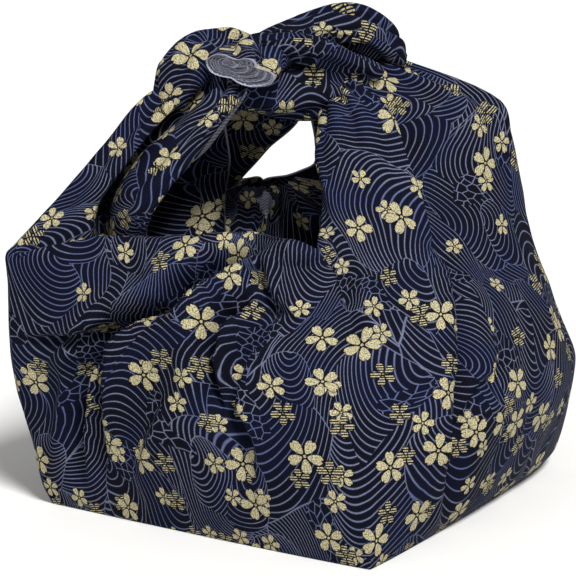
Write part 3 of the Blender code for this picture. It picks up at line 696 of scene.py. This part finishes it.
def swells(cloth, place, below, spacing, reach, share, seed):
    """One layer of swells over the lines `below`: how far each place is from the nearest line.
    A swell is round, and its lines are circles that all lean towards a point outside it."""
    shifted = add(cloth, "VectorMath", (place, (seed, 0.7 * seed, 0.0)), "ADD")
    cell = add(cloth, "TexVoronoi", {"Vector": shifted, "Scale": 1 / spacing,
               "Randomness": 0.9}, voronoi_dimensions="2D")
    luck = add(cloth, "SeparateColor", (cell.outputs["Color"],))
    axis = add(cloth, "VectorMath", (cell.outputs["Color"], (0.5, 0.5, 0.5)), "SUBTRACT")
    axis = add(cloth, "VectorMath", (axis, (1.0, 1.0, 0.0)), "MULTIPLY")
    axis = add(cloth, "VectorMath", (axis,), "NORMALIZE")
    out = add(cloth, "VectorMath", (shifted, cell.outputs["Position"]), "SUBTRACT")
    out = add(cloth, "VectorMath", (out, (1.0, 1.0, 0.0)), "MULTIPLY")
    far = 1.5 * reach
    ray = add(cloth, "VectorMath", {0: axis, 1: (far, far, 0.0), 2: out}, "MULTIPLY_ADD")
    straight = add(cloth, "VectorMath", (ray, ray), "DOT_PRODUCT").outputs["Value"]
    ahead = add(cloth, "VectorMath", (ray, axis), "DOT_PRODUCT").outputs["Value"]
    width = add(cloth, "Math", (straight, ahead), "DIVIDE")
    pitch = add(cloth, "MapRange", {"Value": luck.outputs[2], "To Min": WAVE_PITCH[0],
                "To Max": WAVE_PITCH[1]})
    turns = add(cloth, "Math", (width, pitch), "DIVIDE")
    beside = add(cloth, "Math", (turns, 0.5), "PINGPONG")
    closer = add(cloth, "Math", (ahead, width), "DIVIDE")
    off = add(cloth, "Math", (beside, pitch), "MULTIPLY")
    off = add(cloth, "Math", (off, closer), "MULTIPLY")
    radius = add(cloth, "VectorMath", (out,), "LENGTH").outputs["Value"]
    rim = add(cloth, "Math", (reach, radius), "SUBTRACT")
    if share == 1.0:
        return add(cloth, "Math", (off, below), "MINIMUM")
    off = add(cloth, "Math", (off, rim), "MINIMUM")
    within = add(cloth, "Math", (rim, 0.0), "GREATER_THAN")
    here = add(cloth, "Math", (luck.outputs[0], share), "LESS_THAN")
    here = add(cloth, "Math", (here, within), "MULTIPLY")
    return add(cloth, "Mix", {0: here, 2: below, 3: off})


def printed_cotton():
    """The printed side: near-black navy with pale blue lines and gold blossoms."""
    cloth = bpy.data.materials.new("dyed and printed twill cotton")
    cloth.use_nodes = True
    shader = cloth.node_tree.nodes["Principled BSDF"]
    place = add(cloth, "UVMap", uv_map="cloth")

    # The waves: the place is bent by slow noise, and layers of swells lie over each other on it.
    slow = add(cloth, "TexNoise", {"Vector": place, "Scale": 13.0, "Detail": 0.0}, noise_dimensions="2D")
    push = add(cloth, "VectorMath", (slow.outputs["Color"], (0.5, 0.5, 0.5)), "SUBTRACT")
    bent = add(cloth, "VectorMath", {0: push, 1: (0.040, 0.040, 0.0), 2: place}, "MULTIPLY_ADD")
    drawn = add(cloth, "VectorMath", (bent, (WAVE_SQUEEZE, 1.0, 0.0)), "MULTIPLY")
    widest = SWELLS[0][0]
    border = add(cloth, "TexVoronoi", {"Vector": drawn, "Scale": 1 / widest,
                 "Randomness": 0.9}, voronoi_dimensions="2D", feature="DISTANCE_TO_EDGE")
    off_line = add(cloth, "Math", (border.outputs["Distance"], widest), "MULTIPLY")
    for row in SWELLS:
        off_line = swells(cloth, drawn, off_line, *row)
    # Foam: small round cells in patches.
    foam = add(cloth, "TexVoronoi", {"Vector": bent, "Scale": 1 / FOAM_CELL,
               "Randomness": 0.9}, voronoi_dimensions="2D", feature="DISTANCE_TO_EDGE")
    foam_edge = add(cloth, "Math", (foam.outputs["Distance"], FOAM_CELL), "MULTIPLY")
    patches = add(cloth, "TexNoise", {"Vector": place, "Scale": 24.0, "Detail": 0.0},
                  noise_dimensions="2D")
    foamy = add(cloth, "Math", (patches.outputs[0], 0.72), "GREATER_THAN")
    off_line = add(cloth, "Mix", {0: foamy, 2: off_line, 3: foam_edge})
    line = add(cloth, "MapRange", {"Value": off_line, "From Min": 0.85 * WAVE_LINE,
               "From Max": 0.25 * WAVE_LINE})
    glow = add(cloth, "MapRange", {"Value": off_line, "From Min": 2.6 * WAVE_LINE,
               "From Max": 0.4 * WAVE_LINE})

    # Twill: fine ribs on the slant.
    slant = add(cloth, "TexWave", {"Vector": place, "Scale": 2 * pi / TWILL_PITCH / 20,
                "Distortion": 0.6, "Detail": 1.0, "Detail Scale": 1.5},
                bands_direction="DIAGONAL")
    grain = add(cloth, "TexNoise", {"Vector": place, "Scale": 900.0, "Detail": 2.0},
                noise_dimensions="2D")
    # The dye took more blue in some patches than in others.
    blue = add(cloth, "TexNoise", {"Vector": bent, "Scale": 22.0, "Detail": 1.0}, noise_dimensions="2D")
    blue = add(cloth, "MapRange", {"Value": blue.outputs[0], "From Min": 0.44, "From Max": 0.62})
    ground = add(cloth, "Mix", {0: blue, 6: linear("#0b0c15"), 7: linear("#0c0f20")}, data_type="RGBA")
    ground = add(cloth, "Mix", {0: glow, 6: ground.outputs[2], 7: linear("#0e1228")}, data_type="RGBA")
    ground = add(cloth, "Mix", {0: 0.35, 6: ground.outputs[2], 7: slant.outputs["Color"]},
                 data_type="RGBA", blend_type="MULTIPLY")
    pale = add(cloth, "Mix", {0: blue, 6: linear("#7c7f90"), 7: linear("#5c6587")}, data_type="RGBA")
    thread = add(cloth, "Mix", {0: grain.outputs[0], 6: linear("#3f445f"), 7: pale.outputs[2]},
                 data_type="RGBA")
    colour = add(cloth, "Mix", {0: line, 6: ground.outputs[2], 7: thread.outputs[2]}, data_type="RGBA")

    # Blossoms, printed in gold over the waves with a dark gap round each petal.
    fleck = add(cloth, "TexNoise", {"Vector": place, "Scale": 1100.0, "Detail": 1.0},
                noise_dimensions="2D")
    foil = add(cloth, "ValToRGB", (fleck.outputs[0],))
    foil.color_ramp.elements[0].position = 0.33
    foil.color_ramp.elements[0].color = linear("#6b6550")
    foil.color_ramp.elements[1].position = 0.66
    foil.color_ramp.elements[1].color = linear("#bbb28d")
    gold_anywhere = None
    for row in BLOSSOMS:
        gold, halo = blossom(cloth, place, *row)
        colour = add(cloth, "Mix", {0: halo, 6: colour.outputs[2], 7: linear("#0d0d12")},
                     data_type="RGBA")
        colour = add(cloth, "Mix", {0: gold, 6: colour.outputs[2], 7: foil.outputs[0]}, data_type="RGBA")
        gold_anywhere = gold if gold_anywhere is None else add(
            cloth, "Math", (gold_anywhere, gold), "MAXIMUM")
    # The selvedge: a pale thread along the hem.
    from_hem = add(cloth, "Attribute", attribute_name="from_hem").outputs["Fac"]
    selvedge = add(cloth, "MapRange", {"Value": from_hem, "From Min": 0.0016, "From Max": 0.0008})
    colour = add(cloth, "Mix", {0: selvedge, 6: colour.outputs[2], 7: linear("#8d8e9c")},
                 data_type="RGBA")
    rough = add(cloth, "MapRange", {"Value": gold_anywhere, "To Min": 0.82, "To Max": 0.5})
    cloth.node_tree.links.new(colour.outputs[2], shader.inputs["Base Color"])
    cloth.node_tree.links.new(rough.outputs[0], shader.inputs["Roughness"])
    shader.inputs["Specular IOR Level"].default_value = 0.05
    return cloth


REVERSE_PITCH = 0.0030          # between the grey lines that the print leaves on the reverse


def reverse_cotton():
    """The unprinted reverse: the dye only shows through, as a grey blue with pale flecks."""
    cloth = bpy.data.materials.new("undyed reverse of the twill")
    cloth.use_nodes = True
    shader = cloth.node_tree.nodes["Principled BSDF"]
    place = add(cloth, "UVMap", uv_map="cloth")
    lines = add(cloth, "TexWave", {"Vector": place, "Scale": 2 * pi / REVERSE_PITCH / 20,
                "Distortion": 4.0, "Detail": 1.0, "Detail Scale": 0.35}, bands_direction="Y")
    fleck = add(cloth, "TexNoise", {"Vector": place, "Scale": 800.0, "Detail": 2.0},
                noise_dimensions="2D")
    tone = add(cloth, "Mix", {0: lines.outputs["Fac"], 6: linear("#2f313d"),
               7: linear("#a0a4bb")}, data_type="RGBA")
    tone = add(cloth, "Mix", {0: 0.25, 6: tone.outputs[2], 7: linear("#5c5e70")}, data_type="RGBA")
    pale = add(cloth, "MapRange", {"Value": fleck.outputs[0], "From Min": 0.52, "From Max": 0.66})
    colour = add(cloth, "Mix", {0: pale, 6: tone.outputs[2], 7: linear("#b6b3b6")}, data_type="RGBA")
    cloth.node_tree.links.new(colour.outputs[2], shader.inputs["Base Color"])
    shader.inputs["Roughness"].default_value = 0.88
    shader.inputs["Specular IOR Level"].default_value = 0.15
    return cloth


cotton = printed_cotton()
cloth = cloth_object()
reverse = reverse_cotton()
for surface in (cotton, reverse, cotton, cotton):
    cloth.data.materials.append(surface)
thickness = cloth.modifiers.new("thickness", "SOLIDIFY")
thickness.thickness = CLOTH_THICKNESS
thickness.offset = -1.0
thickness.material_offset = 1

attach(cloth, "root")
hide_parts("furoshiki_cloth")

# The square knot. The two strands cross, each passes round the other, and their corners stick
# out: one at the front with its turned-in end open, one at the back as a soft lobe. Each length
# is pleated cloth, made here as a flat tube swept along stations.
Station = namedtuple("Station", "x y z half_width half_thick lean")
KNOT = {
    "knot_wrap": (
        Station(-0.030, 0.016, 0.308, 0.012, 0.010, 0),
        Station(-0.050, 0.012, 0.313, 0.015, 0.012, 10),
        Station(-0.070, 0.004, 0.309, 0.018, 0.013, 20),
        Station(-0.086, -0.002, 0.297, 0.019, 0.012, 20),
        Station(-0.094, -0.004, 0.282, 0.016, 0.008, 10),
    ),
    "knot_front_end": (
        Station(-0.014, 0.004, 0.305, 0.014, 0.012, 0),
        Station(-0.030, -0.012, 0.311, 0.020, 0.014, 4),
        Station(-0.042, -0.026, 0.309, 0.024, 0.013, 8),
        Station(-0.053, -0.038, 0.304, 0.026, 0.010, 10),
    ),
    "knot_band": (
        Station(-0.038, -0.008, 0.306, 0.010, 0.008, 0),
        Station(-0.024, -0.022, 0.317, 0.012, 0.008, 30),
        Station(0.002, -0.026, 0.314, 0.013, 0.008, 40),
        Station(0.026, -0.022, 0.304, 0.012, 0.007, 30),
        Station(0.046, -0.016, 0.296, 0.010, 0.005, 20),
    ),
    "knot_back_end": (
        Station(-0.030, 0.004, 0.312, 0.012, 0.010, 0),
        Station(-0.006, 0.004, 0.320, 0.018, 0.011, 0),
        Station(0.020, 0.006, 0.326, 0.022, 0.014, 0),
        Station(0.042, 0.008, 0.323, 0.026, 0.016, 0),
        Station(0.060, 0.008, 0.312, 0.024, 0.013, 0),
        Station(0.068, 0.008, 0.303, 0.018, 0.007, 0),
    ),
    "knot_back_bight": (
        Station(-0.062, 0.006, 0.292, 0.013, 0.010, -60),
        Station(-0.038, 0.014, 0.292, 0.017, 0.012, -70),
        Station(-0.010, 0.018, 0.290, 0.019, 0.013, -80),
        Station(0.018, 0.016, 0.288, 0.018, 0.012, -80),
        Station(0.040, 0.010, 0.290, 0.014, 0.010, -70),
    ),
    "knot_front_bight": (
        Station(-0.058, -0.006, 0.290, 0.014, 0.010, 60),
        Station(-0.036, -0.014, 0.287, 0.016, 0.012, 70),
        Station(-0.010, -0.016, 0.284, 0.018, 0.012, 80),
        Station(0.018, -0.016, 0.284, 0.018, 0.012, 80),
        Station(0.036, -0.012, 0.288, 0.014, 0.010, 70),
    ),
}
# Creases that run along a length: bearing round it, wander, depth as a share of the size, breadth.
CREASES = {
    "knot_wrap": ((40, 20, 0.33, 13), (110, 25, 0.30, 14), (250, 15, 0.34, 14), (320, 10, 0.30, 13)),
    "knot_front_end": ((65, 20, 0.22, 14), (120, 15, 0.26, 13), (290, 15, 0.22, 16)),
    "knot_band": ((60, 25, 0.32, 18), (120, 20, 0.26, 16), (270, 10, 0.29, 20)),
    "knot_back_end": ((70, 25, 0.31, 13), (125, 20, 0.25, 11), (235, 25, 0.30, 14), (300, 20, 0.28, 12)),
    "knot_back_bight": ((60, 20, 0.20, 16), (140, 20, 0.20, 16), (240, 20, 0.20, 16), (300, 20, 0.17, 16)),
    "knot_front_bight": ((60, 20, 0.20, 16), (130, 20, 0.23, 16), (230, 20, 0.20, 16), (300, 20, 0.20, 16)),
}
TUBE_SIDES = 72
TUBE_STEPS = 12                 # rings of faces between two stations
DOME = (0.35, 0.7, 1.0, 1.3, 1.5)   # angles of the rings that round off a closed end
DOME_HEIGHT = 0.8               # as a share of half the tube's thickness
NO_HEM = 0.05                   # a distance from the hem at which none of it shows
# The cloth rolled up inside the open end, from its lip inwards: size and how far back.
MOUTH = (
    (0.97, -0.0006), (0.93, 0.0000), (0.90, 0.0045), (0.85, 0.0063), (0.82, 0.0015), (0.78, 0.0012),
    (0.75, 0.0060), (0.69, 0.0075), (0.66, 0.0024), (0.62, 0.0021), (0.58, 0.0069), (0.51, 0.0084),
    (0.48, 0.0033), (0.43, 0.0030), (0.38, 0.0075), (0.30, 0.0090), (0.25, 0.0045), (0.18, 0.0045),
    (0.10, 0.0090),
)


def knot_length(name, stations, creases, mouth):
    """A closed, creased tube through the stations. With a mouth, its end is open and lined with
    the cloth's reverse."""
    rows = curve_through(np.array(stations), [TUBE_STEPS] * (len(stations) - 1))
    centre, wide, thick = rows[:, :3], rows[:, 3], rows[:, 4]
    lean = np.radians(rows[:, 5:6])
    ahead = np.gradient(centre, axis=0)
    ahead /= np.linalg.norm(ahead, axis=1, keepdims=True)
    level = np.cross(ahead, (0.0, 0.0, 1.0))
    level /= np.linalg.norm(level, axis=1, keepdims=True)
    across = level * np.cos(lean) + np.cross(level, ahead) * np.sin(lean)
    through = np.cross(across, ahead)
    turn = np.arange(TUBE_SIDES) * 2 * pi / TUBE_SIDES
    run = np.linspace(0.0, 1.0, len(rows))
    size = np.ones((len(rows), TUBE_SIDES))
    for k, (bearing, wander, depth, breadth) in enumerate(creases):
        at = np.radians(bearing + wander * np.sin(2.4 * run * pi + k))
        off = np.abs((turn[None, :] - at[:, None] + pi) % (2 * pi) - pi)
        size -= depth * np.exp(-(off / radians(breadth)) ** 2)
        size += 0.35 * depth * np.exp(-((off - radians(1.9 * breadth)) / radians(1.2 * breadth)) ** 2)
    fine = np.abs(np.sin(7.5 * turn[None, :] + 1.5 * np.sin(5.0 * run)[:, None]))
    size -= 0.045 * (1.0 - 0.7 * run**2)[:, None] * fine
    rings = []
    for i in range(len(rows)):
        ring = centre[i] + np.outer(size[i] * np.cos(turn) * wide[i], across[i])
        rings.append(ring + np.outer(size[i] * np.sin(turn) * thick[i], through[i]))
    lined_from = len(rings)
    first, last = rings[0], rings[-1]
    if mouth:
        outer = last[np.argmax(last @ (-1.0, 0.0, 0.5))]
        heart = centre[-1] + 0.5 * (outer - centre[-1])
        for shrink, back in MOUTH:
            rings.append(heart + (last - heart) * shrink - back * ahead[-1])
        lined_from += 1
    else:
        for a in DOME:
            rings.append(centre[-1] + (last - centre[-1]) * cos(a)
                         + DOME_HEIGHT * thick[-1] * sin(a) * ahead[-1])
    for a in DOME:
        rings.insert(0, centre[0] + (first - centre[0]) * cos(a)
                     - DOME_HEIGHT * thick[0] * sin(a) * ahead[0])
    lined_from += len(DOME)
    mesh = bmesh.new()
    lie = mesh.loops.layers.uv.new("cloth")
    from_hem = mesh.verts.layers.float.new("from_hem")
    points = [[mesh.verts.new(p) for p in ring] for ring in rings]
    far = np.concatenate([[0.0], np.cumsum([np.linalg.norm(b - a, axis=1).mean()
                                            for a, b in zip(rings, rings[1:])])])
    for i, ring in enumerate(points):
        for v in ring:
            v[from_hem] = max(far[lined_from - 1] - far[i], 0.0) if mouth else NO_HEM
    girth = np.linalg.norm(np.diff(last, axis=0), axis=1).sum() * TUBE_SIDES / (TUBE_SIDES - 1)
    for i in range(len(points) - 1):
        for j in range(TUBE_SIDES):
            k = (j + 1) % TUBE_SIDES
            face = mesh.faces.new([points[i][k], points[i][j], points[i + 1][j], points[i + 1][k]])
            face.material_index = 1 if mouth and i >= lined_from - 1 else 0
            for loop, (a, b) in zip(face.loops, ((i, j + 1), (i, j), (i + 1, j), (i + 1, j + 1))):
                loop[lie].uv = (b / TUBE_SIDES * girth + 0.37 * len(name), far[a])
    mesh.faces.new(points[0])
    mesh.faces.new(points[-1][::-1])
    data = bpy.data.meshes.new(name)
    mesh.to_mesh(data)
    mesh.free()
    data.shade_smooth()
    made = bpy.data.objects.new(name, data)
    scene.collection.objects.link(made)
    data.materials.append(cotton)
    data.materials.append(reverse)
    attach(made, "root")
    return made


knot = [
    knot_length(name, stations, CREASES[name], name == "knot_front_end")
    for name, stations in KNOT.items()
]
